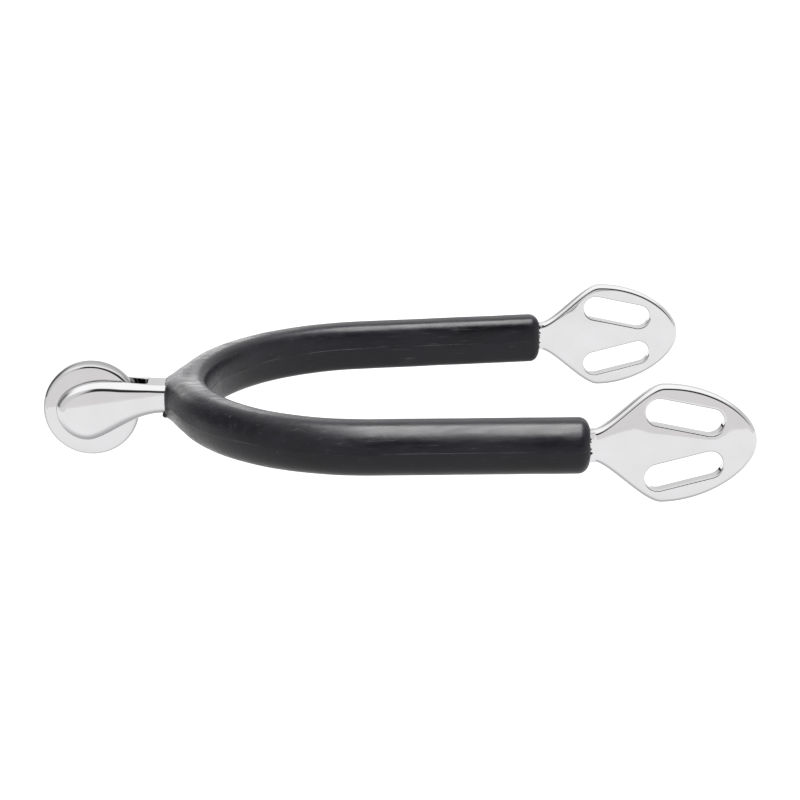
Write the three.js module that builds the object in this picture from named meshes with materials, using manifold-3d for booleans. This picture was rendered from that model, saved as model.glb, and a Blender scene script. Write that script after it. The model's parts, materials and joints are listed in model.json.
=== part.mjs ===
// A roller spur: a steel yoke that hugs the heel of a riding boot, covered in moulded rubber,
// with a slotted strap plate at the end of each arm and a smooth roller in a forked neck.
//
// Millimetres, +Z up. +X points forwards along the arms, +Y to the left. The spur stands on the
// lower edges of its strap plates and of its roller. The origin is on that floor, under the
// middle of the spur's bounding box.
//
// The pieces are drawn in the yoke's own frame, whose origin is the centre of the heel's arc,
// and one group at the end carries them to the origin above.

import * as THREE from "three";
import { mergeVertices } from "three/addons/utils/BufferGeometryUtils.js";
import Module from "manifold-3d";

const wasm = await Module();
wasm.setup();

// ---------------------------------------------------------------------------------------------
// Driving dimensions
// ---------------------------------------------------------------------------------------------

// Yoke: a flat bar bent on edge round the heel, with arms that open a little towards the front.
const HEEL_RADIUS = 39.3; // of the bar's centre line
const SPLAY = THREE.MathUtils.degToRad(3.66); // of each arm, away from straight ahead
const ARM_FRONT = 39.3; // x of the rubber's front ends
const BAR_HEIGHT = 6.2;
const BAR_THICKNESS = 2.9;

// Rubber cover.
const COVER_HEIGHT = 10.8;
const COVER_THICKNESS = 8.0;
const COVER_OUTER_CORNER = 3.8; // round outside,
const COVER_INNER_CORNER = 2.0; // and flat against the boot
const COVER_Z = -0.2; // the cover hangs a little low on the bar
const LIP_X = -44.8; // where the neck comes out of the cover
const LIP_TOP = 3.8;
const LIP_BOTTOM = -3.6;

// Strap plates: leaf-shaped, with two slots that close towards the tip.
const PLATE_HEIGHT = 23.8;
const PLATE_THICKNESS = 2.9;
const PLATE_TIP = 71.9; // x of the plate's tip
const PLATE_EDGE = 0.6; // rounding of every edge
const PLATE_ROOT = 1.5; // how far each leaf reaches into the rubber
const TANG_LENGTH = 7; // of each plate's tang inside the rubber
const SLOT_LENGTH = 15.6;
const SLOT_WIDTH = 5.2;
const SLOT_TILT = THREE.MathUtils.degToRad(13);
const SLOT_X = 57.6; // middle of each slot
const SLOT_Z = 5.45;

// Neck: a bar that forks round the roller.
const NECK_THICKNESS = 8.5; // across both ears
const NECK_EDGE = 1.5; // rounding of the outer edges
const NECK_TOP = 3.3;
const NECK_BOTTOM = -2.65;
const FORK_GAP = 4.4;
const FORK_BOTTOM = -48.35; // x of the closed end of the fork's gap
const TENON_RADIUS = 1.6; // of the neck's root, which goes through the bar
const HEAD_RADIUS = 2.5; // of the tenon's peened end
const HEAD_DEPTH = 0.9;

// Roller and what it turns on.
const ROLLER_RADIUS = 10.05;
const ROLLER_THICKNESS = 3.7;
const ROLLER_X = -60.36;
const PIN_RADIUS = 1.5;
const BORE_END = -3.5; // y of the closed end of the pin's bore, inside the right ear
const BUSH_RADIUS = 2.5;
const WASHER_RADIUS = 3.2;
const WASHER_THICKNESS = 0.25;

// Clearances.
const RUNNING_GAP = 0.1; // round the pin and the bush
const SEAT_GAP = 0.3; // between pieces that rest on each other

// ---------------------------------------------------------------------------------------------
// Worked-out places
// ---------------------------------------------------------------------------------------------

const PLATE_BOTTOM = -PLATE_HEIGHT / 2;
const ROLLER_Z = PLATE_BOTTOM + ROLLER_RADIUS; // the roller and the plates stand on one floor
const ROLLER_BACK = ROLLER_X - ROLLER_RADIUS;
const ARM_START = new THREE.Vector2(-Math.sin(SPLAY), Math.cos(SPLAY)).multiplyScalar(HEEL_RADIUS);
const ARM_LENGTH = (ARM_FRONT - ARM_START.x) / Math.cos(SPLAY);
const ARC_LENGTH = HEEL_RADIUS * (Math.PI - 2 * SPLAY);
const PLATE_Y = ARM_START.y + ARM_LENGTH * Math.sin(SPLAY);
const PLATE_BACK = ARM_FRONT - PLATE_ROOT;
const HEEL_BACK = -HEEL_RADIUS - BAR_THICKNESS / 2; // x of the bar's outer face behind the heel

// ---------------------------------------------------------------------------------------------
// Tools
// ---------------------------------------------------------------------------------------------

// A closed three.js geometry as a manifold-3d solid.
function solidOf(geometry) {
  const bare = geometry.index ? geometry.toNonIndexed() : geometry.clone();
  bare.deleteAttribute("normal");
  bare.deleteAttribute("uv");
  const merged = mergeVertices(bare, 1e-4);
  return new wasm.Manifold(
    new wasm.Mesh({
      numProp: 3,
      vertProperties: merged.attributes.position.array,
      triVerts: new Uint32Array(merged.index.array),
    }),
  );
}

// A manifold-3d solid as a three.js geometry.
function geometryOf(solid) {
  const mesh = solid.getMesh();
  const geometry = new THREE.BufferGeometry();
  geometry.setAttribute("position", new THREE.BufferAttribute(mesh.vertProperties, 3));
  geometry.setIndex(new THREE.BufferAttribute(mesh.triVerts, 1));
  geometry.computeVertexNormals();
  return geometry;
}

// The first solid with the others cut out of it.
function cut(geometry, ...tools) {
  return geometryOf(tools.reduce((left, tool) => left.subtract(solidOf(tool)), solidOf(geometry)));
}

function intersect(geometry, other) {
  return geometryOf(solidOf(geometry).intersect(solidOf(other)));
}

function join(...geometries) {
  return geometryOf(geometries.map(solidOf).reduce((all, next) => all.add(next)));
}

// A cylinder along Y, from y = from to y = to.
function cylinderAcross(radius, from, to, x, z, sides = 32) {
  const geometry = new THREE.CylinderGeometry(radius, radius, to - from, sides);
  return geometry.translate(x, (from + to) / 2, z);
}

// A cylinder along X, from x = from to x = to.
function cylinderAlong(radius, from, to, z, sides = 24) {
  const geometry = new THREE.CylinderGeometry(radius, radius, to - from, sides);
  return geometry.rotateZ(Math.PI / 2).translate((from + to) / 2, 0, z);
}

// A rectangle about the origin.
function rectangle(width, height) {
  const shape = new THREE.Shape();
  shape.moveTo(-width / 2, -height / 2);
  shape.lineTo(width / 2, -height / 2);
  shape.lineTo(width / 2, height / 2);
  shape.lineTo(-width / 2, height / 2);
  return shape;
}

// A rounded rectangle about the origin, whose lower corners may have a radius of their own.
function roundedRectangle(width, height, radius, lowerRadius = radius) {
  const quarter = Math.PI / 2;
  const x = width / 2 - radius;
  const y = height / 2 - radius;
  const lowerX = width / 2 - lowerRadius;
  const lowerY = height / 2 - lowerRadius;
  const shape = new THREE.Shape();
  shape.absarc(x, y, radius, 0, quarter);
  shape.absarc(-x, y, radius, quarter, 2 * quarter);
  shape.absarc(-lowerX, -lowerY, lowerRadius, 2 * quarter, 3 * quarter);
  shape.absarc(lowerX, -lowerY, lowerRadius, 3 * quarter, 4 * quarter);
  return shape;
}

// An upright flat piece: a shape drawn in X and Z, of a thickness across Y centred on y = 0,
// with its edges rounded by edge.
function upright(shape, thickness, edge, curveSegments, bevelSegments) {
  const geometry = new THREE.ExtrudeGeometry(shape, {
    depth: thickness - 2 * edge,
    bevelEnabled: edge > 0,
    bevelThickness: edge,
    bevelSize: edge,
    bevelOffset: -edge,
    bevelSegments,
    curveSegments,
  });
  return geometry.translate(0, 0, edge - thickness / 2).rotateX(Math.PI / 2);
}

// The yoke's centre line, from the end of the right arm round the heel to the end of the left,
// or as much of it as is left when each end is cut back by shorter.
class YokeLine extends THREE.Curve {
  constructor(shorter = 0) {
    super();
    this.arm = ARM_LENGTH - shorter;
  }

  getPoint(t, target = new THREE.Vector3()) {
    const along = Math.abs(2 * t - 1) * (this.arm + ARC_LENGTH / 2); // from the back of the heel
    const side = t < 0.5 ? -1 : 1;
    const onArc = Math.min(along, ARC_LENGTH / 2) / HEEL_RADIUS;
    const onArm = Math.max(along - ARC_LENGTH / 2, 0);
    return target.set(
      -HEEL_RADIUS * Math.cos(onArc) + onArm * Math.cos(SPLAY),
      side * (HEEL_RADIUS * Math.sin(onArc) + onArm * Math.sin(SPLAY)),
      0,
    );
  }
}

// A section swept along the yoke's line. The section's first axis points down and its second
// out of the yoke.
function sweep(section, shorter, steps, curveSegments) {
  return new THREE.ExtrudeGeometry(section, {
    extrudePath: new YokeLine(shorter),
    steps,
    curveSegments,
  });
}

// ---------------------------------------------------------------------------------------------
// Outlines
// ---------------------------------------------------------------------------------------------

// A strap slot: a stadium about (SLOT_X, z), turned by angle.
function slotPath(z, angle) {
  const reach = (SLOT_LENGTH - SLOT_WIDTH) / 2;
  const dx = reach * Math.cos(angle);
  const dz = reach * Math.sin(angle);
  const quarter = Math.PI / 2;
  const path = new THREE.Path();
  path.absarc(SLOT_X + dx, z + dz, SLOT_WIDTH / 2, angle - quarter, angle + quarter);
  path.absarc(SLOT_X - dx, z - dz, SLOT_WIDTH / 2, angle + quarter, angle + 3 * quarter);
  return path;
}

// The strap plate seen from its side: a waist as high as the bar, flanks that rise to the full
// height, and long shoulders that fall to a blunt tip.
function plateOutline() {
  const waist = BAR_HEIGHT / 2;
  const top = PLATE_HEIGHT / 2;
  const crest = 53.4; // x of the plate's highest and lowest points
  const shape = new THREE.Shape();
  shape.moveTo(PLATE_BACK, waist);
  shape.lineTo(PLATE_BACK, -waist);
  shape.lineTo(ARM_FRONT + 0.4, -waist);
  shape.bezierCurveTo(42.7, -waist, 49.7, -top, crest, -top);
  shape.bezierCurveTo(63.1, -top, PLATE_TIP, -5.6, PLATE_TIP, 0);
  shape.bezierCurveTo(PLATE_TIP, 5.6, 63.1, top, crest, top);
  shape.bezierCurveTo(49.7, top, 42.7, waist, ARM_FRONT + 0.4, waist);
  shape.closePath();
  shape.holes.push(slotPath(SLOT_Z, -SLOT_TILT), slotPath(-SLOT_Z, SLOT_TILT));
  return shape;
}

// The neck and one ear seen from the side. The ear hangs low, round the roller's centre.
function neckOutline(root) {
  const shape = new THREE.Shape();
  shape.moveTo(root, NECK_BOTTOM);
  shape.lineTo(root, NECK_TOP);
  shape.lineTo(-44.6, NECK_TOP);
  shape.bezierCurveTo(-50.2, 3.5, -54.7, 4.5, -58.2, 4.5);
  shape.bezierCurveTo(-63.1, 4.5, -67.6, 1.7, -67.6, -1.5);
  shape.bezierCurveTo(-67.6, -5.0, -64.6, -8.2, -61.2, -8.2);
  shape.bezierCurveTo(-57.5, -8.2, -51.7, NECK_BOTTOM, -45.7, NECK_BOTTOM);
  shape.closePath();
  return shape;
}

// ---------------------------------------------------------------------------------------------
// Pieces
// ---------------------------------------------------------------------------------------------

// The bar inside the rubber, with a hole for the neck's tenon.
function heelBar() {
  const bar = sweep(rectangle(BAR_HEIGHT, BAR_THICKNESS), TANG_LENGTH + SEAT_GAP, 56, 1);
  const holeEnd = HEEL_BACK + 2 * BAR_THICKNESS;
  const hole = cylinderAlong(TENON_RADIUS + SEAT_GAP, HEEL_BACK - BAR_THICKNESS, holeEnd, 0);
  return cut(bar, hole);
}

// One strap plate, on the left arm: the leaf with its slots, and a tang in line with the arm.
function strapPlate() {
  const inset = 0.02;
  const overlap = 1; // how far the tang runs on into the leaf
  const length = TANG_LENGTH + overlap;
  const leaf = upright(plateOutline(), PLATE_THICKNESS, PLATE_EDGE, 14, 2);
  const tang = new THREE.BoxGeometry(length, PLATE_THICKNESS - inset, BAR_HEIGHT - inset);
  tang.translate(overlap - length / 2, 0, 0).rotateZ(SPLAY).translate(ARM_FRONT, 0, 0);
  return join(leaf, tang).translate(0, PLATE_Y, 0);
}

// The neck: a bar rooted on the heel bar by a tenon, forked round the roller. The pin's bore goes
// right through the left ear and stops inside the right one, whose face stays whole.
function forkNeck() {
  const shank = upright(neckOutline(HEEL_BACK - SEAT_GAP), NECK_THICKNESS, NECK_EDGE, 14, 4);
  const tenonEnd = HEEL_BACK + BAR_THICKNESS + HEAD_DEPTH + SEAT_GAP;
  const tenon = cylinderAlong(TENON_RADIUS, HEEL_BACK - BAR_THICKNESS, tenonEnd, 0);
  const head = cylinderAlong(HEAD_RADIUS, tenonEnd - HEAD_DEPTH, tenonEnd, 0);
  const block = 40; // longer and higher than both ears
  const gap = new THREE.BoxGeometry(block, FORK_GAP, block).translate(FORK_BOTTOM - block / 2, 0, 0);
  const boreRadius = PIN_RADIUS + RUNNING_GAP;
  const bore = cylinderAcross(boreRadius, BORE_END, NECK_THICKNESS, ROLLER_X, ROLLER_Z);
  return cut(join(shank, tenon, head), gap, bore);
}

// The moulded cover over the whole bar, which runs out to a lip round the neck.
function rubberCover() {
  const corners = [COVER_OUTER_CORNER, COVER_INNER_CORNER];
  const section = roundedRectangle(COVER_HEIGHT, COVER_THICKNESS, ...corners);
  const tube = sweep(section, 0, 48, 3).translate(0, 0, COVER_Z);
  const outside = intersect(join(tube, heelNose()), coverProfile());
  const channel = rectangle(BAR_HEIGHT + 2 * SEAT_GAP, BAR_THICKNESS + 2 * SEAT_GAP);
  const neckHole = upright(neckHoleOutline(), NECK_THICKNESS + 2 * SEAT_GAP, NECK_EDGE, 6, 3);
  const pocketEnd = HEEL_BACK + BAR_THICKNESS + HEAD_DEPTH + 2 * SEAT_GAP;
  const pocket = cylinderAlong(HEAD_RADIUS + SEAT_GAP, HEEL_BACK, pocketEnd, 0);
  return cut(outside, sweep(channel, -1, 48, 1), neckHole, pocket);
}

// The nose behind the heel: a funnel with a round-cornered section that opens from the lip into
// the cover. It is a drum of unit radius and height, squared up and flared.
function heelNose() {
  const depth = 4.5;
  const squareness = 4;
  const lip = { halfWidth: 5.1, halfHeight: 4 };
  const flare = { halfWidth: 8.5, halfHeight: 1.3 };
  const rings = 6;
  const rim = Array.from({ length: rings + 1 }, (_, i) => new THREE.Vector2(1, i / rings));
  const ends = [new THREE.Vector2(0, 0), new THREE.Vector2(0, 1)];
  const drum = new THREE.LatheGeometry([ends[0], ...rim, ends[1]], 32);
  const position = drum.attributes.position;
  for (let i = 0; i < position.count; i += 1) {
    const across = position.getX(i);
    const along = position.getY(i);
    const up = position.getZ(i);
    const roundness = Math.abs(across) ** squareness + Math.abs(up) ** squareness || 1;
    const out = roundness ** (-1 / squareness);
    const halfWidth = lip.halfWidth + flare.halfWidth * along ** 1.5;
    const halfHeight = lip.halfHeight + flare.halfHeight * along;
    position.setXYZ(
      i,
      LIP_X + depth * along,
      -across * out * halfWidth,
      up * out * halfHeight + COVER_Z * along,
    );
  }
  return drum;
}

// The cover seen from the side, as a block wider than the spur: level along the arms, and
// narrowing behind the heel to the lip.
function coverProfile() {
  const spare = 0.1;
  const top = COVER_Z + COVER_HEIGHT / 2 + spare;
  const bottom = COVER_Z - COVER_HEIGHT / 2 - spare;
  const topFalls = LIP_X + 13.8; // x where the top begins to narrow
  const bottomRises = LIP_X + 5.8;
  const width = 3 * HEEL_RADIUS;
  const shape = new THREE.Shape();
  shape.moveTo(PLATE_TIP, bottom);
  shape.lineTo(PLATE_TIP, top);
  shape.lineTo(topFalls, top);
  shape.quadraticCurveTo(LIP_X + 4.8, top, LIP_X, LIP_TOP);
  shape.lineTo(LIP_X - spare, LIP_TOP);
  shape.lineTo(LIP_X - spare, LIP_BOTTOM);
  shape.lineTo(LIP_X, LIP_BOTTOM);
  shape.quadraticCurveTo(LIP_X + 1.4, bottom, bottomRises, bottom);
  shape.closePath();
  return upright(shape, width, 0, 6, 0);
}

// The neck's own section, a seat gap larger, for the hole through the lip.
function neckHoleOutline() {
  const end = LIP_X - 5; // well outside the lip
  const shape = new THREE.Shape();
  shape.moveTo(HEEL_BACK, NECK_BOTTOM - SEAT_GAP);
  shape.lineTo(HEEL_BACK, NECK_TOP + SEAT_GAP);
  shape.lineTo(end, NECK_TOP + SEAT_GAP);
  shape.lineTo(end, NECK_BOTTOM - SEAT_GAP);
  shape.closePath();
  return shape;
}

// The roller: a smooth disc with a full round rim and faintly domed faces, bored for its bush.
function roller() {
  const half = ROLLER_THICKNESS / 2;
  const rim = 1.1;
  const dome = 0.1; // how far the faces stand above the rim's edges
  const shoulder = half - rim - dome;
  const faceRadius = ROLLER_RADIUS - 3;
  const bore = BUSH_RADIUS + RUNNING_GAP;
  const profile = new THREE.Path();
  profile.moveTo(bore, -half);
  profile.lineTo(faceRadius, -half);
  profile.absarc(ROLLER_RADIUS - rim, -shoulder, rim, -Math.PI / 2, 0);
  profile.absarc(ROLLER_RADIUS - rim, shoulder, rim, 0, Math.PI / 2);
  profile.lineTo(faceRadius, half);
  profile.lineTo(bore, half);
  const points = profile.getPoints(4);
  points.push(points[0].clone());
  return new THREE.LatheGeometry(points, 64).translate(ROLLER_X, 0, ROLLER_Z);
}

// A flat ring about the pin, from y = from to y = to.
function ring(inner, outer, from, to) {
  const points = [
    new THREE.Vector2(inner, from),
    new THREE.Vector2(outer, from),
    new THREE.Vector2(outer, to),
    new THREE.Vector2(inner, to),
    new THREE.Vector2(inner, from),
  ];
  return new THREE.LatheGeometry(points, 32).translate(ROLLER_X, 0, ROLLER_Z);
}

function rollerBush() {
  const half = ROLLER_THICKNESS / 2;
  return ring(PIN_RADIUS + RUNNING_GAP, BUSH_RADIUS, -half, half);
}

// One thin washer, on the left or right of the roller.
function thrustWasher(side) {
  const middle = (side * (ROLLER_THICKNESS + FORK_GAP)) / 4;
  const half = WASHER_THICKNESS / 2;
  return ring(PIN_RADIUS + RUNNING_GAP, WASHER_RADIUS, middle - half, middle + half);
}

// The pin the roller turns on, pressed in from the left and ground flush with that ear.
function axlePin() {
  return cylinderAcross(PIN_RADIUS, BORE_END + RUNNING_GAP, NECK_THICKNESS / 2, ROLLER_X, ROLLER_Z);
}

// ---------------------------------------------------------------------------------------------
// The spur
// ---------------------------------------------------------------------------------------------

const steel = new THREE.MeshStandardMaterial({ color: 0xdcdcde, metalness: 1, roughness: 0.08 });
const bronze = new THREE.MeshStandardMaterial({ color: 0xb08a52, metalness: 1, roughness: 0.35 });
const rubber = new THREE.MeshStandardMaterial({ color: 0x242428, metalness: 0, roughness: 0.5 });

const yoke = new THREE.Group();

function add(name, geometry, material) {
  const mesh = new THREE.Mesh(geometry, material);
  mesh.name = name;
  yoke.add(mesh);
}

// Mirrored geometry, left to right, with its faces turned the right way out again.
function mirrored(geometry) {
  const flipped = geometry.clone().scale(1, -1, 1);
  const index = flipped.index.array;
  for (let i = 0; i < index.length; i += 3) {
    [index[i + 1], index[i + 2]] = [index[i + 2], index[i + 1]];
  }
  return flipped;
}

const leftPlate = strapPlate();
add("heel_bar", heelBar(), steel);
add("strap_plate_left", leftPlate, steel);
add("strap_plate_right", mirrored(leftPlate), steel);
add("fork_neck", forkNeck(), steel);
add("rubber_cover", rubberCover(), rubber);
add("roller", roller(), steel);
add("roller_bush", rollerBush(), bronze);
add("axle_pin", axlePin(), steel);
add("thrust_washer_left", thrustWasher(1), steel);
add("thrust_washer_right", thrustWasher(-1), steel);

yoke.position.set(-(PLATE_TIP + ROLLER_BACK) / 2, 0, -PLATE_BOTTOM);

const spur = new THREE.Group();
spur.add(yoke);

export default spur;
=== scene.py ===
"""The looks of a roller spur: polished steel and moulded rubber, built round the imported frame.

Shapes are worked out in millimetres in the yoke's own frame, whose origin is the centre of the
heel's arc at the height of the strap plates' centre line, and placed() moves them to the frame.
"""

import json
import math

import bmesh
import bpy
import numpy as np
from mathutils import Matrix, Vector, noise


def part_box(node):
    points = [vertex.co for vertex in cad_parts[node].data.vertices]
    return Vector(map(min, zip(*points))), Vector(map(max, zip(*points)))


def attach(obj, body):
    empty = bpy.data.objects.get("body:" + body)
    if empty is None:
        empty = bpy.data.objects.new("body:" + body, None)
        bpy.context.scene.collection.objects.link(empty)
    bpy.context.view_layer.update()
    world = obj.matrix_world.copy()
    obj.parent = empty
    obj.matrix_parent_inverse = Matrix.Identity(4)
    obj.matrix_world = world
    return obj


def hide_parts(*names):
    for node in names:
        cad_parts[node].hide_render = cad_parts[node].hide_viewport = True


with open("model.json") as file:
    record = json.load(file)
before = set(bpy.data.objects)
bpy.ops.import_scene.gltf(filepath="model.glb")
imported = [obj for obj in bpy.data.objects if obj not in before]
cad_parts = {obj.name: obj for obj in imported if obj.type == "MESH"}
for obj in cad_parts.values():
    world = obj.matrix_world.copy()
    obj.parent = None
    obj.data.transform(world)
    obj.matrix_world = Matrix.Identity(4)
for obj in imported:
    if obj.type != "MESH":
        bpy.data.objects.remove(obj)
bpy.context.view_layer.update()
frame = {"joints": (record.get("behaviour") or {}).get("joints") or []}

MM = 0.001
JOIN_DISTANCE = 0.001 * MM

# Yoke and rubber cover
HEEL_RADIUS = 39.3
SPLAY = math.radians(3.66)
ARM_FRONT = 39.3
BAR_HEIGHT = 6.2
BAR_THICKNESS = 2.9
COVER_HALF_HEIGHT = 5.4
COVER_HALF_THICKNESS = 4.0
OUTER_SQUARENESS = 2.2
INNER_SQUARENESS = 4.2
HEEL_SWELL = 0.75
SWELL_REACH = 16.0
HEEL_DIP = 0.45
DIP_REACH = 9.0
MOULD_DRAFT = 0.045
MOULD_LINE_Z = -0.12
COVER_Z = -0.2
COVER_END_ROUND = 2.2
LIP_X = -44.8
NOSE_SIDE = 6.5
NOSE_END = 12.5

# Strap plates
PLATE_HALF_HEIGHT = 11.9
PLATE_THICKNESS = 2.9
PLATE_TIP = 71.9
PLATE_EDGE = 0.95
SLOT_EDGE = 0.3
SLOT_X = 57.6
SLOT_Z = 5.45
SLOT_LENGTH = 15.6
SLOT_WIDTH = 5.2
SLOT_TILT = math.radians(13)
TANG_LENGTH = 7.0

# Neck
NECK_THICKNESS = 8.5
NECK_EDGE = 1.5
EAR_EDGE = 2.02
NECK_TOP = 3.3
NECK_BOTTOM = -2.65
NECK_ROOT = -41.05
FORK_GAP = 4.4
FORK_BOTTOM = -48.35

# Roller and its pin
ROLLER_RADIUS = 10.05
ROLLER_THICKNESS = 3.7
PIN_RADIUS = 1.5
PIN_GAP = 0.06
BUSH_RADIUS = 2.5

# Worked-out places
ARM_START = HEEL_RADIUS * np.array([-math.sin(SPLAY), math.cos(SPLAY)])
ARM_LENGTH = (ARM_FRONT - ARM_START[0]) / math.cos(SPLAY)
ARC_HALF = HEEL_RADIUS * (math.pi / 2 - SPLAY)
HALF_LENGTH = ARC_HALF + ARM_LENGTH
PLATE_Y = ARM_START[1] + ARM_LENGTH * math.sin(SPLAY)

cover_low, cover_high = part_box("rubber_cover")
plate_low, plate_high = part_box("strap_plate_left")
ORIGIN = np.array([cover_low.x - LIP_X * MM, 0, (plate_low.z + plate_high.z) / 2])
SPIN_CENTRE = np.array(frame["joints"][0]["pos_m"])
ROLLER_X, _, ROLLER_Z = (SPIN_CENTRE - ORIGIN) / MM


# ---------------------------------------------------------------------------------------------
# Meshes
# ---------------------------------------------------------------------------------------------


def placed(points):
    """Points of the yoke's frame, in millimetres, as points of the row frame, in metres."""
    return np.asarray(points) * MM + ORIGIN


def solid_mesh(mesh):
    """Makes a mesh one clean closed body: joins points that fall together, removes faces that
    lie back to back on the same points, and points every face outwards."""
    form = bmesh.new()
    form.from_mesh(mesh)
    bmesh.ops.remove_doubles(form, verts=form.verts, dist=JOIN_DISTANCE)
    bmesh.ops.dissolve_degenerate(form, edges=form.edges, dist=JOIN_DISTANCE)
    bmesh.ops.triangulate(form, faces=[face for face in form.faces if len(face.verts) > 4])
    form.verts.index_update()
    on_points = {}
    for face in form.faces:
        on_points.setdefault(frozenset(vert.index for vert in face.verts), []).append(face)
    doubled = [face for faces in on_points.values() if len(faces) > 1 for face in faces]
    bmesh.ops.delete(form, geom=doubled, context="FACES")
    bmesh.ops.recalc_face_normals(form, faces=form.faces)
    if form.calc_volume(signed=True) < 0:
        bmesh.ops.reverse_faces(form, faces=form.faces)
    form.to_mesh(mesh)
    form.free()


def make_piece(name, points, faces, body, slot, material, *nodes):
    """A smooth mesh that rides on a body and stands for some CAD nodes."""
    mesh = bpy.data.meshes.new(name)
    mesh.from_pydata(placed(points).tolist(), [], [list(face) for face in faces])
    solid_mesh(mesh)
    mesh.shade_smooth()
    mesh.materials.append(material)
    piece = bpy.data.objects.new(name, mesh)
    bpy.context.scene.collection.objects.link(piece)
    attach(piece, body)
    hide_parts(*nodes)
    return piece


def grid_faces(rows, columns, close_rows=False, close_columns=True):
    """The quads of a grid of points, row after row, closed on itself either way."""
    index = np.arange(rows * columns).reshape(rows, columns)
    if close_rows:
        index = np.vstack([index, index[:1]])
    if close_columns:
        index = np.hstack([index, index[:, :1]])
    corners = [index[:-1, :-1], index[:-1, 1:], index[1:, 1:], index[1:, :-1]]
    return np.stack(corners, -1).reshape(-1, 4)


def point_normals(points, faces):
    corners = points[faces]
    across = np.cross(corners[:, 2] - corners[:, 0], corners[:, 3] - corners[:, 1])
    normals = np.zeros_like(points)
    for column in faces.T:
        for axis in range(3):
            normals[:, axis] += np.bincount(column, across[:, axis], len(points))
    return normals / np.linalg.norm(normals, axis=1, keepdims=True)


def surface_net(field, low, high, cell):
    """The surface where a field of distance is zero, as points and quads.

    Each cell of a grid that the surface crosses gets one point, which is then moved onto the
    surface along its normal.
    """
    axes = [np.arange(a - 2 * cell, b + 3 * cell, cell) for a, b in zip(low, high)]
    values = field(*np.ix_(*axes))
    owners, crossings = [], []
    for axis in range(3):
        before = np.take(values, range(values.shape[axis] - 1), axis)
        after = np.take(values, range(1, values.shape[axis]), axis)
        at = np.argwhere((before < 0) != (after < 0))
        a, b = before[tuple(at.T)], after[tuple(at.T)]
        point = at.astype(float)
        point[:, axis] += a / (a - b)
        one, two = np.eye(3, dtype=int)[[(axis + 1) % 3, (axis + 2) % 3]]
        cells = np.stack([at, at - one, at - one - two, at - two], 1)
        cells[a > 0] = cells[a > 0][:, ::-1]
        owners.append(cells)
        crossings.append(np.repeat(point[:, None], 4, 1))
    owners = np.concatenate(owners).reshape(-1, 3)
    crossings = np.concatenate(crossings).reshape(-1, 3)
    _, corner = np.unique(np.ravel_multi_index(owners.T, values.shape), return_inverse=True)
    corner = corner.ravel()
    share = np.bincount(corner)
    middle = np.stack([np.bincount(corner, column) / share for column in crossings.T], 1)
    points = np.array([line[0] for line in axes]) + middle * cell
    faces = corner.reshape(-1, 4)
    for _ in range(3):
        step = np.clip(field(*points.T), -cell, cell)
        points = points - point_normals(points, faces) * step[:, None]
    return points, faces


def lathe(profile, segments=256):
    """Points and quads of a closed profile of (radius, y), turned about the roller's axis."""
    profile = np.array(profile)
    turn = np.linspace(0, 2 * math.pi, segments, endpoint=False)
    radius, y = profile.T
    points = np.stack(
        [
            ROLLER_X + radius[:, None] * np.cos(turn),
            np.repeat(y[:, None], segments, 1),
            ROLLER_Z + radius[:, None] * np.sin(turn),
        ],
        -1,
    )
    return points.reshape(-1, 3), grid_faces(len(profile), segments, close_rows=True)


def arc(centre, radius, start, end, steps):
    """Points along an arc, its angles in degrees."""
    angles = np.radians(np.linspace(start, end, steps))
    return np.array(centre) + radius * np.stack([np.cos(angles), np.sin(angles)], -1)


def bezier(a, b, c, d, steps=160):
    t = np.linspace(0, 1, steps, endpoint=False)[:, None]
    a, b, c, d = (np.array(p, float) for p in (a, b, c, d))
    return (1 - t) ** 3 * a + 3 * (1 - t) ** 2 * t * b + 3 * (1 - t) * t**2 * c + t**3 * d


# ---------------------------------------------------------------------------------------------
# Fields of distance
# ---------------------------------------------------------------------------------------------


def outline_distance(loops, x, z):
    """How far (x, z) lies outside the outline that closed loops draw; negative inside."""
    x, z = np.broadcast_arrays(x, z)
    nearest = np.full(x.shape, np.inf)
    inside = np.zeros(x.shape, bool)
    for loop in loops:
        for (x0, z0), (x1, z1) in zip(loop, np.roll(loop, -1, 0)):
            dx, dz = x1 - x0, z1 - z0
            t = np.clip(((x - x0) * dx + (z - z0) * dz) / (dx * dx + dz * dz), 0, 1)
            away = (x - x0 - t * dx) ** 2 + (z - z0 - t * dz) ** 2
            np.minimum(nearest, away, out=nearest)
            if z0 != z1:
                crosses = (z0 > z) != (z1 > z)
                inside ^= crosses & (x < x0 + (z - z0) * dx / dz)
    return np.where(inside, -1, 1) * np.sqrt(nearest)


def both(a, b, rounding):
    """Where two shapes overlap, with the edge between their surfaces rounded."""
    over = np.hypot(np.maximum(a + rounding, 0), np.maximum(b + rounding, 0))
    return np.minimum(np.maximum(a, b), -rounding) + over


def either(a, b, fillet):
    """Two shapes joined, with a fillet between them."""
    mix = np.clip(0.5 + 0.5 * (b - a) / fillet, 0, 1)
    return b + (a - b) * mix - fillet * mix * (1 - mix)


# ---------------------------------------------------------------------------------------------
# Strap plates
# ---------------------------------------------------------------------------------------------


def slot_loop(z, tilt):
    reach = (SLOT_LENGTH - SLOT_WIDTH) / 2
    step = reach * np.array([math.cos(tilt), math.sin(tilt)])
    centre = np.array([SLOT_X, z])
    turn = math.degrees(tilt)
    front = arc(centre + step, SLOT_WIDTH / 2, turn - 90, turn + 90, 60)
    back = arc(centre - step, SLOT_WIDTH / 2, turn + 90, turn + 270, 60)
    return np.concatenate([front, back])


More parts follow.
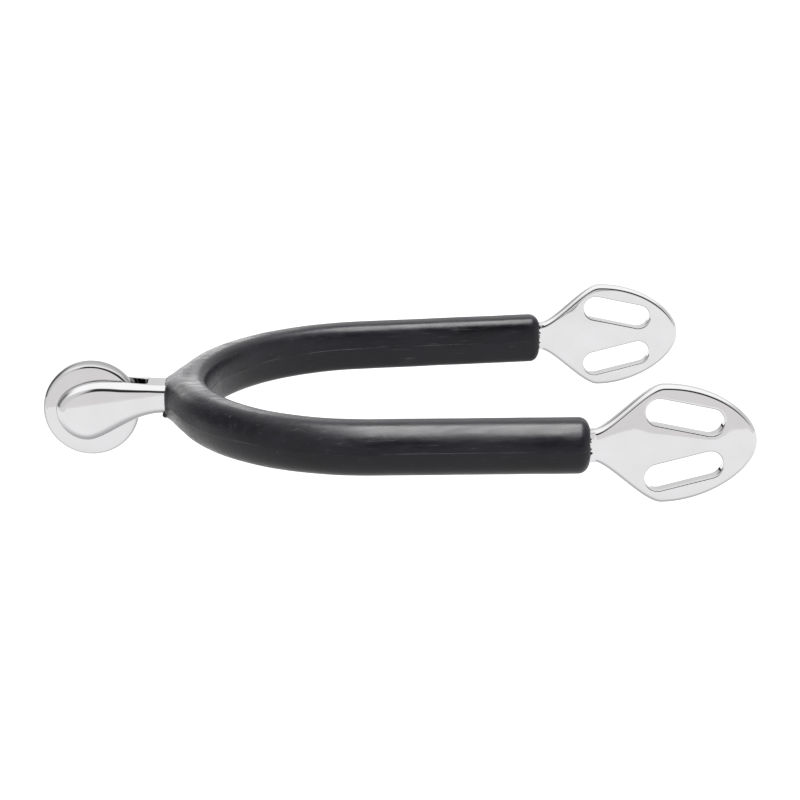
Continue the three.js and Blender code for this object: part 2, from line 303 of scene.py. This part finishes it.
def plate_loops():
    waist = BAR_HEIGHT / 2
    top = PLATE_HALF_HEIGHT
    crest = 53.4
    start = ARM_FRONT - 1.5
    neck = ARM_FRONT + 0.4
    lower = np.concatenate([
        [[start, -waist]],
        bezier((neck, -waist), (42.7, -waist), (49.7, -top), (crest, -top)),
        bezier((crest, -top), (63.1, -top), (PLATE_TIP, -5.6), (PLATE_TIP, 0)),
    ])
    upper = np.concatenate([
        bezier((PLATE_TIP, 0), (PLATE_TIP, 5.6), (63.1, top), (crest, top)),
        bezier((crest, top), (49.7, top), (42.7, waist), (neck, waist)),
        [[neck, waist], [start, waist]],
    ])
    leaf = np.concatenate([lower, upper])
    return [leaf, slot_loop(SLOT_Z, -SLOT_TILT), slot_loop(-SLOT_Z, SLOT_TILT)]


def plate_field(x, y, z):
    """A strap plate about y = 0. Its faces fall away a little towards the edge and the slots,
    as polishing leaves them, before the edges' own rounding."""
    out = outline_distance(PLATE_LOOPS[:1], x, z)
    slots = outline_distance(PLATE_LOOPS[1:], x, z)
    crown = 0.1 * np.exp(np.minimum(out, 0) / 2.2) + 0.09 * np.exp(-np.maximum(slots, 0) / 1.5)
    leaf = both(out, np.abs(y) - PLATE_THICKNESS / 2 + crown, PLATE_EDGE)
    slotted = both(leaf, -slots, SLOT_EDGE)
    along = (x - ARM_FRONT) * math.cos(SPLAY) + y * math.sin(SPLAY)
    across = -(x - ARM_FRONT) * math.sin(SPLAY) + y * math.cos(SPLAY)
    tang_end = np.maximum(along - 1, -along - TANG_LENGTH)
    tang_side = np.maximum(np.abs(across) - 1.35, np.abs(z) - 3.0)
    return np.minimum(slotted, np.maximum(tang_end, tang_side))


PLATE_LOOPS = plate_loops()


def build_plates(material):
    low = (ARM_FRONT - TANG_LENGTH - 0.5, -2.5, -PLATE_HALF_HEIGHT)
    high = (PLATE_TIP, 2.2, PLATE_HALF_HEIGHT)
    points, faces = surface_net(plate_field, low, high, 0.2)
    left = points + (0, PLATE_Y, 0)
    right = left * (1, -1, 1)
    make_piece("plate_left", left, faces, "spur_body", "polished_steel", material, "strap_plate_left")
    make_piece(
        "plate_right", right, faces[:, ::-1], "spur_body", "polished_steel", material, "strap_plate_right"
    )


# ---------------------------------------------------------------------------------------------
# Neck
# ---------------------------------------------------------------------------------------------


def neck_loops():
    back = [(NECK_ROOT, NECK_BOTTOM), (NECK_ROOT, NECK_TOP)]
    outline = np.concatenate([
        back,
        bezier((-44.6, NECK_TOP), (-50.2, 3.5), (-54.7, 4.5), (-58.2, 4.5)),
        bezier((-58.2, 4.5), (-63.1, 4.5), (-67.6, 1.7), (-67.6, -1.5)),
        bezier((-67.6, -1.5), (-67.6, -5.0), (-64.6, -8.2), (-61.2, -8.2)),
        bezier((-61.2, -8.2), (-57.5, -8.2), (-51.7, NECK_BOTTOM), (-45.7, NECK_BOTTOM)),
    ])
    return [outline]


def neck_field(x, y, z):
    """The neck and its ears: a bar with round edges, less the fork's gap and the pin's bore."""
    out = outline_distance(NECK_LOOPS, x, z)
    ear = np.clip((-48 - x) / 6, 0, 1)
    bar = both(out, np.abs(y) - NECK_THICKNESS / 2, NECK_EDGE + (EAR_EDGE - NECK_EDGE) * ear)
    gap_end = both(np.abs(y) - FORK_GAP / 2, x - FORK_BOTTOM, 0.9)
    fork = both(bar, -gap_end, 0.22)
    bore = np.hypot(x - ROLLER_X, z - ROLLER_Z) - PIN_RADIUS - PIN_GAP
    blind_bore = np.maximum(bore, -3.5 - y)
    return np.maximum(fork, -blind_bore)


NECK_LOOPS = neck_loops()


def build_neck(material):
    low = (-67.6, -NECK_THICKNESS / 2, -8.2)
    high = (NECK_ROOT, NECK_THICKNESS / 2, 4.5)
    points, faces = surface_net(neck_field, low, high, 0.15)
    make_piece("neck", points, faces, "spur_body", "polished_steel", material, "fork_neck")


# ---------------------------------------------------------------------------------------------
# Roller, bush, pin and washers
# ---------------------------------------------------------------------------------------------


def build_roller(material):
    half = ROLLER_THICKNESS / 2
    rim = 1.15
    dome = 0.08
    bore = BUSH_RADIUS + 0.03
    rim_radius = ROLLER_RADIUS - rim
    shoulder = half - rim - dome
    across = np.linspace(0, 1, 24)
    face_radius = bore + 0.3 + (rim_radius - bore - 0.4) * across
    face = half - dome * across**4
    profile = np.concatenate([
        [[bore, 0.2 - half], [bore + 0.06, 0.06 - half]],
        np.stack([face_radius, -face], -1),
        arc((rim_radius, -shoulder), rim, -90, 0, 24),
        arc((rim_radius, shoulder), rim, 0, 90, 24),
        np.stack([face_radius, face], -1)[::-1],
        [[bore + 0.06, half - 0.06], [bore, half - 0.2]],
    ])
    points, faces = lathe(profile, 288)
    make_piece("roller_disc", points, faces, "roller_set", "polished_steel", material, "roller")


def ring_profile(inner, outer, low, high, chamfer):
    return [
        (inner, low + chamfer), (inner + chamfer, low), (outer - chamfer, low),
        (outer, low + chamfer), (outer, high - chamfer), (outer - chamfer, high),
        (inner + chamfer, high), (inner, high - chamfer),
    ]


def build_spindle(steel, bronze):
    half = ROLLER_THICKNESS / 2
    bore = PIN_RADIUS + 0.05
    points, faces = lathe(ring_profile(bore, BUSH_RADIUS, -half, half, 0.15), 128)
    make_piece("bush", points, faces, "roller_set", "bush_bronze", bronze, "roller_bush")
    middle = (ROLLER_THICKNESS + FORK_GAP) / 4
    for side, name in ((1, "left"), (-1, "right")):
        low, high = side * middle - 0.125, side * middle + 0.125
        points, faces = lathe(ring_profile(bore, 3.2, low, high, 0.04), 128)
        washer = f"thrust_washer_{name}"
        make_piece(f"washer_{name}", points, faces, "spur_body", "steel_bar", steel, washer)
    end = NECK_THICKNESS / 2
    tip = 0.02
    profile = [
        (tip, -3.4), (PIN_RADIUS - 0.2, -3.4), (PIN_RADIUS, -3.2),
        (PIN_RADIUS, end - 0.12), (PIN_RADIUS - 0.1, end - 0.02), (PIN_RADIUS - 0.3, end), (tip, end),
    ]
    points, faces = lathe(profile, 128)
    make_piece("pin", points, faces, "spur_body", "polished_steel", steel, "axle_pin")


# ---------------------------------------------------------------------------------------------
# Heel bar and rubber cover
# ---------------------------------------------------------------------------------------------


def yoke_station(along):
    """The centre line's points at distances along it from the back of the heel, and the unit
    vectors there that point out of the yoke and forwards along it."""
    along = np.asarray(along, float)
    side = np.where(along < 0, -1.0, 1.0)
    reach = np.abs(along)
    turn = np.minimum(reach, ARC_HALF) / HEEL_RADIUS
    straight = np.maximum(reach - ARC_HALF, 0)
    x = -HEEL_RADIUS * np.cos(turn) + straight * math.cos(SPLAY)
    y = side * (HEEL_RADIUS * np.sin(turn) + straight * math.sin(SPLAY))
    zero = np.zeros_like(x)
    out = np.stack([-np.cos(turn), side * np.sin(turn), zero], -1)
    ahead = np.stack([side * np.sin(turn), np.cos(turn), zero], -1)
    return np.stack([x, y, zero], -1), out, ahead


def section_radius(angle, half_width, half_height, squareness):
    """A rounded rectangle's radius in each direction, as a superellipse."""
    across = np.abs(np.cos(angle) / half_width) ** squareness
    up = np.abs(np.sin(angle) / half_height) ** squareness
    return (across + up) ** (-1 / squareness)


def cover_radius(angle, half_width, half_height):
    """The cover's section: round outside, flat against the boot, and drafted either way from
    the mould's parting line at mid-height."""
    squareness = np.where(np.cos(angle) > 0, OUTER_SQUARENESS, INNER_SQUARENESS)
    drafted = half_width * (1 - MOULD_DRAFT * np.abs(np.sin(angle)))
    return section_radius(angle, drafted, half_height, squareness)


def nose_field(x, y, z):
    """The nose behind the heel, where the cover draws in to the neck, and the tab of flash
    under the neck."""
    depth = 4.5
    t = np.clip((x - LIP_X) / depth, 0, 1.4)
    half_width = 5.05 + 8.3 * t**1.5
    half_height = 3.75 + 0.95 * np.sin(np.minimum(t, 1) * math.pi / 2)
    centre = -0.1 - 0.1 * t
    squareness = 3.1
    norm = np.abs(y / half_width) ** squareness + np.abs((z - centre) / half_height) ** squareness
    side = (norm ** (1 / squareness) - 1) * half_height
    base = np.maximum(side, x - LIP_X - 2.2 * depth)
    nose = both(base, LIP_X - x, 0.7)
    tab = np.sqrt((x - LIP_X) ** 2 + (y + 3.4) ** 2 + (z + 3.0) ** 2) - 0.62
    return either(nose, tab, 0.3)


def nose_reach(origin, direction):
    """How far along each ray the nose's surface is; 0 where the ray misses it."""
    steps = np.arange(0, 12, 0.05)
    points = origin[..., None, :] + direction[..., None, :] * steps[:, None]
    value = nose_field(*np.moveaxis(points, -1, 0))
    inside = value < 0
    last = len(steps) - 1 - np.argmax(inside[..., ::-1], -1)
    last = np.minimum(last, len(steps) - 2)
    here = np.take_along_axis(value, last[..., None], -1)[..., 0]
    beyond = np.take_along_axis(value, last[..., None] + 1, -1)[..., 0]
    reach = steps[last] + 0.05 * here / np.minimum(here - beyond, -1e-9)
    return np.where(inside.any(-1), reach, 0)


def lip_reach(origin, direction):
    """How far along each ray the lip's flat face is."""
    backwards = np.minimum(direction[..., 0], -0.05)
    return (LIP_X - origin[..., 0]) / backwards


def ease(value):
    """A smooth step from 0 to 1."""
    value = np.clip(value, 0, 1)
    return value * value * (3 - 2 * value)


def section_angles():
    """Directions round the cover's section, closer together at the two mould lines."""
    even = np.linspace(-math.pi, math.pi, 132, endpoint=False)
    close = np.linspace(-0.075, 0.035, 12)
    return np.unique(np.round(np.concatenate([even, close, close + math.pi - 0.001]), 5))


def mould_line(height, along):
    """How far the moulding's parting line stands out: a fine ridge, worn away in places."""
    half_width = 0.1
    wear = np.array([noise.noise(Vector((s * 0.11, 3.7, 0))) for s in along])
    stands = 0.008 + 0.035 * np.clip(0.4 + 1.8 * wear, 0, 1)
    return stands[:, None] * np.exp(-(((height - MOULD_LINE_Z) / half_width) ** 2))


def cover_stations():
    """Places along the cover, closer together at the nose."""
    nose = np.arange(0, 20, 0.2)
    arm = np.linspace(20, HALF_LENGTH - COVER_END_ROUND, 125)
    half = np.concatenate([nose, arm])
    return np.concatenate([-half[:0:-1], half])


def cover_skin():
    """The cover's outside between its rounded ends, as rings of points. At the heel it is fuller
    outside, thinner inside and a little lower on top, and the nose is blended into its back."""
    along = cover_stations()
    angle = section_angles()
    centre, out, _ = yoke_station(along)
    dip = HEEL_DIP * np.exp(-((along / DIP_REACH) ** 2))[:, None]
    half_height = COVER_HALF_HEIGHT - np.where(np.sin(angle) > 0, dip, 0)
    swell = HEEL_SWELL * np.exp(-((along / SWELL_REACH) ** 2))[:, None]
    inner_share = -0.6
    half_width = COVER_HALF_THICKNESS + swell * np.where(np.cos(angle) > 0, 1, inner_share)
    radius = cover_radius(angle, half_width, half_height)
    up = np.array([0, 0, 1.0])
    direction = np.cos(angle)[:, None] * out[:, None] + np.sin(angle)[:, None] * up
    origin = np.broadcast_to((centre + COVER_Z * up)[:, None], direction.shape)
    near = np.abs(along) < NOSE_END
    reach = np.zeros_like(radius)
    reach[near] = nose_reach(origin[near], direction[near])
    blend = 1.8
    fade = ease((NOSE_END - np.abs(along)) / (NOSE_END - NOSE_SIDE))[:, None]
    behind = ease(np.cos(angle) / 0.45)
    overlap = np.clip(1 - np.abs(radius - reach) / blend, 0, 1)
    joined = np.maximum(radius, reach) + overlap**2 * blend / 4
    radius = radius + (joined - radius) * fade * behind
    radius = np.minimum(radius, np.maximum(lip_reach(origin, direction), reach))
    radius = radius + mould_line(radius * np.sin(angle), along)
    rings = origin + direction * radius[..., None]
    swell = np.array([noise.noise(Vector(p) * 0.16) for p in rings.reshape(-1, 3)])
    return rings + direction * (0.035 * swell.reshape(radius.shape))[..., None]


def cover_end(side, ring_angle):
    """The rings that round one end of the cover over, down to the steel, with ragged flash."""
    last = side * (HALF_LENGTH - COVER_END_ROUND)
    centre, out, ahead = yoke_station([last])
    up = np.array([0, 0, 1.0])
    rings = []
    for tilt in np.radians(np.linspace(8, 90, 13)):
        inset = COVER_END_ROUND * (1 - math.cos(tilt))
        push = COVER_END_ROUND * math.sin(tilt)
        rings.append((inset, push, tilt / (math.pi / 2)))
    rings += [(2.32, 2.3, 1.4), (2.42, 2.25, 1.5), (2.46, 1.6, 0)]
    upper, lower = 0.97, 1.2
    built = []
    for inset, push, ragged in rings:
        half_width = COVER_HALF_THICKNESS - inset
        half_height = COVER_HALF_HEIGHT - inset * np.where(np.sin(ring_angle) < 0, lower, upper)
        radius = cover_radius(ring_angle, half_width, half_height)
        flash = [0.16 * ragged**4 * noise.noise(Vector((a * 5, side * 4.0, 1.7))) for a in ring_angle]
        direction = np.cos(ring_angle)[:, None] * out + np.sin(ring_angle)[:, None] * up
        lift = COVER_Z * up * (1 - ragged * 0.6 if ragged <= 1 else 0.4)
        axial = side * (push + np.array(flash))[:, None] * ahead
        built.append(centre + lift + direction * radius[:, None] + axial)
    return np.array(built)


def bar_channel(count):
    """The rings of the channel inside the cover, which the bar fills."""
    clearance = 0.12
    along = np.linspace(-HALF_LENGTH + 1, HALF_LENGTH - 1, count)
    angle = section_angles()
    centre, out, _ = yoke_station(along)
    radius = section_radius(angle, BAR_THICKNESS / 2 + clearance, BAR_HEIGHT / 2 + clearance, 9)
    direction = np.cos(angle)[:, None] * out[:, None] + np.sin(angle)[:, None] * np.array([0, 0, 1])
    return centre[:, None] + direction * radius[:, None]


def build_cover(material):
    angle = section_angles()
    rings = np.concatenate([
        cover_end(-1, angle)[::-1],
        cover_skin(),
        cover_end(1, angle),
        bar_channel(60)[::-1],
    ])
    rows, columns = rings.shape[:2]
    faces = grid_faces(rows, columns, close_rows=True)
    cover = make_piece(
        "cover", rings.reshape(-1, 3), faces[:, ::-1], "spur_body", "cover_rubber", material, "rubber_cover"
    )
    cut_neck_hole(cover)
    return cover


def cut_neck_hole(cover):
    """Cuts the hole that the neck comes out of, a hair wider than the neck."""
    gap = 0.05
    half_width = NECK_THICKNESS / 2 + gap
    half_height = (NECK_TOP - NECK_BOTTOM) / 2 + gap
    corner = NECK_EDGE
    x, z = half_width - corner, half_height - corner
    loop = np.concatenate([
        arc((x, z), corner, 0, 90, 12),
        arc((-x, z), corner, 90, 180, 12),
        arc((-x, -z), corner, 180, 270, 12),
        arc((x, -z), corner, 270, 360, 12),
    ])
    middle = (NECK_TOP + NECK_BOTTOM) / 2
    ends = (LIP_X - 4, NECK_ROOT + 0.6)
    points = np.concatenate([
        np.stack([np.full(len(loop), end), loop[:, 0], loop[:, 1] + middle], -1) for end in ends
    ])
    sides = grid_faces(2, len(loop)).tolist()
    caps = [list(range(len(loop))), list(range(2 * len(loop) - 1, len(loop) - 1, -1))]
    mesh = bpy.data.meshes.new("neck_cutter")
    mesh.from_pydata(placed(points).tolist(), [], sides + caps)
    solid_mesh(mesh)
    cutter = bpy.data.objects.new("neck_cutter", mesh)
    bpy.context.scene.collection.objects.link(cutter)
    cut = cover.modifiers.new("neck_hole", "BOOLEAN")
    cut.operation = "DIFFERENCE"
    cut.solver = "EXACT"
    cut.object = cutter
    bpy.context.view_layer.update()
    evaluated = cover.evaluated_get(bpy.context.evaluated_depsgraph_get())
    result = bpy.data.meshes.new_from_object(evaluated)
    cover.modifiers.clear()
    solid_mesh(result)
    cover.data = result
    bpy.data.objects.remove(cutter)


def build_bar(material):
    along = np.linspace(TANG_LENGTH + 0.3 - HALF_LENGTH, HALF_LENGTH - TANG_LENGTH - 0.3, 160)
    angle = np.linspace(-math.pi, math.pi, 96, endpoint=False)
    centre, out, _ = yoke_station(along)
    radius = section_radius(angle, BAR_THICKNESS / 2 - 0.02, BAR_HEIGHT / 2 - 0.02, 9)
    direction = np.cos(angle)[:, None] * out[:, None] + np.sin(angle)[:, None] * np.array([0, 0, 1])
    rings = centre[:, None] + direction * radius[:, None]
    points = rings.reshape(-1, 3)
    faces = grid_faces(*rings.shape[:2])[:, ::-1].tolist()
    columns = len(angle)
    faces += [list(range(columns)), list(range(len(points) - 1, len(points) - columns - 1, -1))]
    make_piece("bar", points, faces, "spur_body", "steel_bar", material, "heel_bar")


# ---------------------------------------------------------------------------------------------
# Materials
# ---------------------------------------------------------------------------------------------


def add_node(tree, kind, inputs=None, **settings):
    """Adds a node; an input is a value, or another node's output to link from."""
    made = tree.nodes.new(kind)
    for key, value in settings.items():
        setattr(made, key, value)
    for key, value in (inputs or {}).items():
        if isinstance(value, bpy.types.NodeSocket):
            tree.links.new(value, made.inputs[key])
        else:
            made.inputs[key].default_value = value
    return made


def new_material(name):
    material = bpy.data.materials.new(name)
    material.use_nodes = True
    tree = material.node_tree
    return material, tree, tree.nodes["Principled BSDF"]


def noise_at(tree, scale, detail=3.0, stretch=(1, 1, 1), roughness=0.5):
    """Noise over the piece, in features per metre, stretched along an axis."""
    place = add_node(tree, "ShaderNodeTexCoord").outputs["Object"]
    mapped = add_node(tree, "ShaderNodeMapping", {"Vector": place, "Scale": stretch})
    inputs = {"Vector": mapped.outputs[0], "Scale": scale, "Detail": detail, "Roughness": roughness}
    return add_node(tree, "ShaderNodeTexNoise", inputs).outputs["Fac"]


def remap(tree, value, low, high, to_low, to_high):
    inputs = {0: value, 1: low, 2: high, 3: to_low, 4: to_high}
    return add_node(tree, "ShaderNodeMapRange", inputs).outputs[0]


def tint(tree, fac, dark, light):
    inputs = {0: fac, 6: (*dark, 1), 7: (*light, 1)}
    return add_node(tree, "ShaderNodeMix", inputs, data_type="RGBA").outputs[2]


def bump(tree, height, distance, strength=1.0, normal=None):
    inputs = {"Height": height, "Distance": distance, "Strength": strength}
    if normal:
        inputs["Normal"] = normal
    return add_node(tree, "ShaderNodeBump", inputs).outputs[0]


def shine(tree, shader, shade):
    """Mirror polish over a material: faint haze, wipe marks, hairlines, and painted shade, a darker
    base colour and a little more roughness where the shade mask is 1."""
    shader.inputs["Metallic"].default_value = 1
    haze = noise_at(tree, 160, 4)
    wipes = noise_at(tree, 900, 5, (0.18, 1, 1), 0.65)
    hairs = noise_at(tree, 9000, 2, (0.02, 1, 1), 0.7)
    bright = tint(tree, remap(tree, haze, 0.3, 0.7, 0, 1), (0.562, 0.56, 0.562), (0.59, 0.59, 0.593))
    # painted shade: the darker base colour mixed in where the shade mask is 1
    painted_shade_color = (0.3, 0.295, 0.3, 1)
    color = add_node(tree, "ShaderNodeMix", {0: shade, 6: bright, 7: painted_shade_color}, data_type="RGBA")
    tree.links.new(color.outputs[2], shader.inputs["Base Color"])
    rough = add_node(tree, "ShaderNodeMath", {
        0: remap(tree, haze, 0.35, 0.7, 0.02, 0.05),
        1: remap(tree, wipes, 0.55, 0.8, 0.0, 0.04),
    }, operation="ADD").outputs[0]
    # roughness rises a little where the painted shade falls
    worn = add_node(tree, "ShaderNodeMath", {0: shade, 1: 0.08, 2: rough}, operation="MULTIPLY_ADD")
    tree.links.new(worn.outputs[0], shader.inputs["Roughness"])
    ripple = bump(tree, noise_at(tree, 220, 2), 0.00001, 0.35)
    scratched = bump(tree, hairs, 0.0000012, 0.25, ripple)
    tree.links.new(scratched, shader.inputs["Normal"])


def polished_steel():
    """Mirror-polished stainless steel, with painted shade: a darker base colour on surfaces facing down."""
    material, tree, shader = new_material("polished_steel")
    normal = add_node(tree, "ShaderNodeTexCoord").outputs["Normal"]
    up = add_node(tree, "ShaderNodeSeparateXYZ", {0: normal}).outputs["Z"]
    # painted shade on faces that point down, standing in for the shaded floor they reflect
    shine(tree, shader, remap(tree, up, -0.55, -0.15, 1, 0))
    return material


def roller_steel():
    """The same steel, with painted shade: a darker base colour in a thin ring just inside its rim."""
    material, tree, shader = new_material("roller_steel")
    place = add_node(tree, "ShaderNodeTexCoord").outputs["Object"]
    shift = add_node(tree, "ShaderNodeVectorMath", {0: place, 1: tuple(SPIN_CENTRE)}, operation="SUBTRACT")
    flat = add_node(tree, "ShaderNodeVectorMath", {0: shift.outputs[0], 1: (1, 0, 1)}, operation="MULTIPLY")
    length = add_node(tree, "ShaderNodeVectorMath", {0: flat.outputs[0]}, operation="LENGTH")
    radius = length.outputs["Value"]
    rim = ROLLER_RADIUS * MM
    # painted shade: a thin dark ring just inside the rim, standing in for its dark outline
    shine(tree, shader, remap(tree, radius, rim - 0.0006, rim - 0.0002, 0, 1))
    return material


def drawn_steel():
    """Drawn bar as it comes, grey and brushed along its length."""
    material, tree, shader = new_material("drawn_steel")
    shader.inputs["Metallic"].default_value = 1
    grain = noise_at(tree, 4000, 3, (0.05, 1, 1), 0.6)
    color = tint(tree, grain, (0.4, 0.4, 0.41), (0.56, 0.56, 0.57))
    tree.links.new(color, shader.inputs["Base Color"])
    tree.links.new(remap(tree, grain, 0.3, 0.7, 0.25, 0.42), shader.inputs["Roughness"])
    tree.links.new(bump(tree, grain, 0.000004), shader.inputs["Normal"])
    return material


def turned_bronze():
    """Turned bronze, dulled by grease."""
    material, tree, shader = new_material("turned_bronze")
    shader.inputs["Metallic"].default_value = 1
    stain = noise_at(tree, 900, 4)
    color = tint(tree, stain, (0.42, 0.27, 0.11), (0.62, 0.43, 0.2))
    tree.links.new(color, shader.inputs["Base Color"])
    tree.links.new(remap(tree, stain, 0.3, 0.7, 0.28, 0.45), shader.inputs["Roughness"])
    tree.links.new(bump(tree, noise_at(tree, 9000, 2), 0.000004), shader.inputs["Normal"])
    return material


def moulded_rubber():
    """Black moulded rubber: satin, finely pitted, with dusty scuffs along it and a mould line
    rubbed pale in places."""
    material, tree, shader = new_material("moulded_rubber")
    bloom = noise_at(tree, 170, 5, (0.45, 1, 1), 0.62)
    scuffs = noise_at(tree, 1500, 4, (0.12, 1, 1), 0.6)
    pits = noise_at(tree, 7000, 3)
    place = add_node(tree, "ShaderNodeTexCoord").outputs["Object"]
    height = add_node(tree, "ShaderNodeSeparateXYZ", {0: place}).outputs["Z"]
    line_height = ORIGIN[2] + MOULD_LINE_Z * MM
    away = add_node(tree, "ShaderNodeMath", {0: height, 1: line_height}, operation="SUBTRACT")
    near = add_node(tree, "ShaderNodeMath", {0: away.outputs[0]}, operation="ABSOLUTE").outputs[0]
    line = remap(tree, near, 0.00005, 0.00012, 1, 0)
    rubbed = remap(tree, noise_at(tree, 55, 4), 0.5, 0.62, 0, 1)
    pale = add_node(tree, "ShaderNodeMath", {0: line, 1: rubbed}, operation="MULTIPLY").outputs[0]
    scuffed = remap(tree, scuffs, 0.62, 0.78, 0, 1)
    dust = add_node(tree, "ShaderNodeMath", {0: pale, 1: scuffed}, operation="MAXIMUM").outputs[0]
    base = tint(tree, remap(tree, bloom, 0.3, 0.7, 0, 1), (0.001, 0.0009, 0.0015), (0.0038, 0.0037, 0.0062))
    dust_color = (0.022, 0.021, 0.024, 1)
    dusty = add_node(tree, "ShaderNodeMix", {0: dust, 6: base, 7: dust_color}, data_type="RGBA")
    tree.links.new(dusty.outputs[2], shader.inputs["Base Color"])
    rough = add_node(tree, "ShaderNodeMath", {
        0: remap(tree, bloom, 0.36, 0.64, 0.27, 0.38),
        1: remap(tree, scuffs, 0.35, 0.7, -0.045, 0.09),
    }, operation="ADD").outputs[0]
    tree.links.new(rough, shader.inputs["Roughness"])
    shader.inputs["Specular IOR Level"].default_value = 0.24
    fine = bump(tree, pits, 0.00002, 0.5)
    worn = bump(tree, scuffs, 0.00003, 0.35, fine)
    tree.links.new(bump(tree, noise_at(tree, 420, 3), 0.00006, 0.5, worn), shader.inputs["Normal"])
    return material


def glowing_floor_with_painted_pool():
    """A floor that glows, with a painted pool of brighter light behind a slanting line."""
    material, tree, shader = new_material("glowing_floor_with_painted_pool")
    place = add_node(tree, "ShaderNodeTexCoord").outputs["Object"]
    parts = add_node(tree, "ShaderNodeSeparateXYZ", {0: place}).outputs
    slope = 0.424
    terms = {0: parts["X"], 1: slope, 2: parts["Y"]}
    slant = add_node(tree, "ShaderNodeMath", terms, operation="MULTIPLY_ADD")
    tip = remap(tree, parts["X"], 0.056, 0.08, 0, 0.013)
    bent = add_node(tree, "ShaderNodeMath", {0: slant.outputs[0], 1: tip}, operation="SUBTRACT")
    # painted light: the floor glows brighter in a pool behind the slanting line
    painted_pool = remap(tree, bent.outputs[0], -0.0725, -0.071, 0, 1)
    # painted light: the glow fades towards the front
    reach = remap(tree, parts["Y"], -0.7, -0.22, 0.84, 1)
    color = tint(tree, painted_pool, (0.965, 0.938, 0.946), (1.2, 1.2, 1.212))
    tree.links.new(color, shader.inputs["Emission Color"])
    tree.links.new(reach, shader.inputs["Emission Strength"])
    shader.inputs["Base Color"].default_value = (0.12, 0.12, 0.12, 1)
    shader.inputs["Roughness"].default_value = 0.8
    shader.inputs["Specular IOR Level"].default_value = 0
    return material


# ---------------------------------------------------------------------------------------------
# Studio
# ---------------------------------------------------------------------------------------------


def add_camera():
    """A long lens looking down on the right side, at the spur's middle."""
    azimuth, elevation, roll = (math.radians(a) for a in (-2.893, 16.5, -0.827))
    distance = 0.42835
    target = Vector((0.00405, 0, 0.00968))
    back = Vector((
        math.sin(azimuth) * math.cos(elevation),
        -math.cos(azimuth) * math.cos(elevation),
        math.sin(elevation),
    ))
    right = (-back).cross(Vector((0, 0, 1))).normalized()
    up = right.cross(-back)
    level = Matrix((right, up, back)).transposed()
    data = bpy.data.cameras.new("camera")
    data.sensor_width = 36
    data.lens = 36 * 2012.8 / 800
    camera = bpy.data.objects.new("camera", data)
    turned = (level @ Matrix.Rotation(roll, 3, "Z")).to_4x4()
    camera.matrix_world = Matrix.Translation(target + back * distance) @ turned
    bpy.context.scene.collection.objects.link(camera)
    bpy.context.scene.camera = camera


def add_softbox(name, place, aim, size, power):
    data = bpy.data.lights.new(name, "AREA")
    data.shape = "RECTANGLE"
    data.size, data.size_y = size
    data.energy = power
    light = bpy.data.objects.new(name, data)
    light.location = place
    light.rotation_euler = (Vector(aim) - Vector(place)).to_track_quat("-Z", "Y").to_euler()
    bpy.context.scene.collection.objects.link(light)
    return light


def add_floor():
    reach = 3
    mesh = bpy.data.meshes.new("floor")
    corners = [(-reach, -reach, 0), (reach, -reach, 0), (reach, reach, 0), (-reach, reach, 0)]
    mesh.from_pydata(corners, [], [(0, 1, 2, 3)])
    mesh.materials.append(glowing_floor_with_painted_pool())
    floor = bpy.data.objects.new("floor", mesh)
    bpy.context.scene.collection.objects.link(floor)


def add_world():
    """A white room: bright overhead, grey to the left, and dark behind the camera."""
    world = bpy.data.worlds.new("studio")
    world.use_nodes = True
    tree = world.node_tree
    direction = add_node(tree, "ShaderNodeTexCoord").outputs["Generated"]
    parts = add_node(tree, "ShaderNodeSeparateXYZ", {0: direction}).outputs
    ceiling = tint(tree, remap(tree, parts["Z"], 0.5, 0.62, 0, 1), (0.97, 0.97, 0.975), (1.6, 1.6, 1.615))
    left = remap(tree, parts["X"], -0.5, -0.22, 1, 0)
    low = remap(tree, parts["Z"], 0.6, 0.8, 1, 0)
    back = remap(tree, parts["Y"], -0.35, -0.05, 0, 1)
    shade = add_node(tree, "ShaderNodeMath", {0: left, 1: low}, operation="MULTIPLY").outputs[0]
    grey = add_node(tree, "ShaderNodeMath", {0: shade, 1: back}, operation="MULTIPLY").outputs[0]
    grey_wall = (0.3, 0.295, 0.295, 1)
    walls = add_node(tree, "ShaderNodeMix", {0: grey, 6: ceiling, 7: grey_wall}, data_type="RGBA")
    gap_top = remap(tree, parts["Z"], 0.46, 0.62, 1, 0)
    gap_front = remap(tree, parts["Y"], -0.74, -0.6, 1, 0)
    gap_left = remap(tree, parts["X"], -0.28, -0.16, 0, 1)
    wide = add_node(tree, "ShaderNodeMath", {0: gap_top, 1: gap_front}, operation="MULTIPLY").outputs[0]
    gap = add_node(tree, "ShaderNodeMath", {0: wide, 1: gap_left}, operation="MULTIPLY").outputs[0]
    dark = (0.045, 0.042, 0.045, 1)
    color = add_node(tree, "ShaderNodeMix", {0: gap, 6: walls.outputs[2], 7: dark}, data_type="RGBA")
    background = tree.nodes["Background"]
    tree.links.new(color.outputs[2], background.inputs["Color"])
    background.inputs["Strength"].default_value = 1
    bpy.context.scene.world = world


def build_studio():
    scene = bpy.context.scene
    scene.view_settings.view_transform = "Standard"
    add_camera()
    add_world()
    add_floor()


def light_cover(cover):
    """Two softboxes that light only the black rubber, because polished steel burns out under
    them: one overhead, and one low behind on the left, for the heel's top."""
    boxes = [
        add_softbox("cover_key", (0.045, -0.27, 0.49), (0.045, -0.27, 0), (0.33, 0.7), 12.8),
        add_softbox("cover_back", (-0.27, 0.62, 0.17), (-0.04, 0, 0.01), (0.5, 0.18), 0.85),
    ]
    lit = bpy.data.collections.new("cover_only")
    lit.objects.link(cover)
    for box in boxes:
        box.light_linking.receiver_collection = lit


build_studio()
steel = polished_steel()
bar_steel = drawn_steel()
build_plates(steel)
build_neck(steel)
build_roller(roller_steel())
build_spindle(bar_steel, turned_bronze())
build_bar(bar_steel)
light_cover(build_cover(moulded_rubber()))
